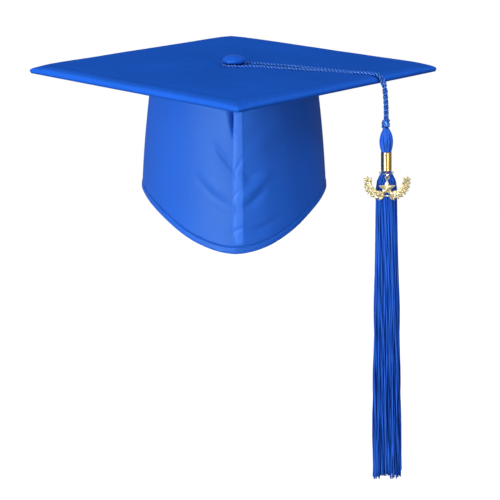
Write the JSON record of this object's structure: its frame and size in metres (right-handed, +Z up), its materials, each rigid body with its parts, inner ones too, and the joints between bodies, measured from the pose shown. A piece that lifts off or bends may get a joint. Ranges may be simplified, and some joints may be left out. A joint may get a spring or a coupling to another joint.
{
  "type": "graduation cap",
  "caption": "Graduation cap: a padded square cloth board on a soft crown with a peaked front, a covered button, and a long corded tassel with a gold band and a small laurel charm.",
  "frame": {"origin": "centre of the head opening, level with the hem at the wearer's ears", "axes": "+Z up to the board, -Y to the front of the cap (its peak and the board's front corner), the board's other corners on X"},
  "size_m": [0.3392, 0.3392, 0.3572],
  "materials": {
    "cover_satin": "royal blue polyester satin, soft sheen",
    "under_satin": "royal blue polyester satin, in the shade of the board",
    "button_satin": "royal blue polyester satin stretched over a button",
    "crown_satin": "royal blue polyester satin, soft sheen",
    "hem_satin": "royal blue polyester satin, turned hem",
    "lining_cloth": "matt blue plain-weave lining",
    "stiffener_felt": "white bonded interfacing",
    "elastic_webbing": "white woven elastic",
    "padding_foam": "thin white wadding",
    "card": "grey-brown chipboard",
    "button_steel": "plain stamped steel",
    "cord_rayon": "royal blue twisted rayon cord, silky",
    "tassel_thread": "royal blue rayon threads, silky",
    "band_gold": "polished gold-coloured ribbed ferrule",
    "ring_gold": "bright gold-coloured wire",
    "charm_gold": "pale gold with a fine glitter"
  },
  "bodies": {
    "cap": {"top_cover": "cover_satin", "board_padding": "padding_foam", "board_core": "card", "under_cover": "under_satin", "crown_panel_left": "crown_satin", "crown_panel_right": "crown_satin", "crown_lining_left": "lining_cloth", "crown_lining_right": "lining_cloth", "hem_facing_left": "hem_satin", "hem_facing_right": "hem_satin", "front_stiffener": "stiffener_felt", "front_seam_band": "crown_satin", "back_elastic": "elastic_webbing", "elastic_casing": "hem_satin", "crown_binding": "lining_cloth", "button_cover": "button_satin", "button_shell": "button_steel", "button_back": "button_steel", "button_shank": "button_steel", "retaining_washer": "button_steel"},
    "loop": {"cord_top": "cord_rayon"},
    "drop": {"cord_drop": "cord_rayon"},
    "tassel": {"cord_knot": "cord_rayon", "tassel_head": "tassel_thread", "tassel_neck": "tassel_thread", "tassel_band": "band_gold", "tassel_skirt": "tassel_thread", "charm_ring": "ring_gold"},
    "charm": {"charm_bail": "ring_gold", "charm_plate": "charm_gold"}
  },
  "joints": [
    {"name": "tassel_turn", "type": "hinge", "parent": "cap", "child": "loop", "pos_m": [0, 0, 0.104], "axis": [0, 0, 1], "range_deg": [-129, 0], "deforming": ["cord_drop"]},
    {"name": "tassel_lift", "type": "hinge", "parent": "loop", "child": "drop", "pos_m": [0.11673, -0.05568, 0.1015], "axis": [-0.4305, -0.9026, 0], "range_deg": [0, 90], "deforming": ["cord_drop"]},
    {"name": "tassel_swing", "type": "hinge", "parent": "drop", "child": "tassel", "pos_m": [0.12188, -0.05813, 0.0695], "axis": [0.9022, -0.4303, 0.0297], "range_deg": [-40, 40]},
    {"name": "charm_swing", "type": "hinge", "parent": "tassel", "child": "charm", "pos_m": [0.12306, -0.0649, 0.0253], "axis": [-1, 0, 0], "range_deg": [0, 75]}
  ]
}
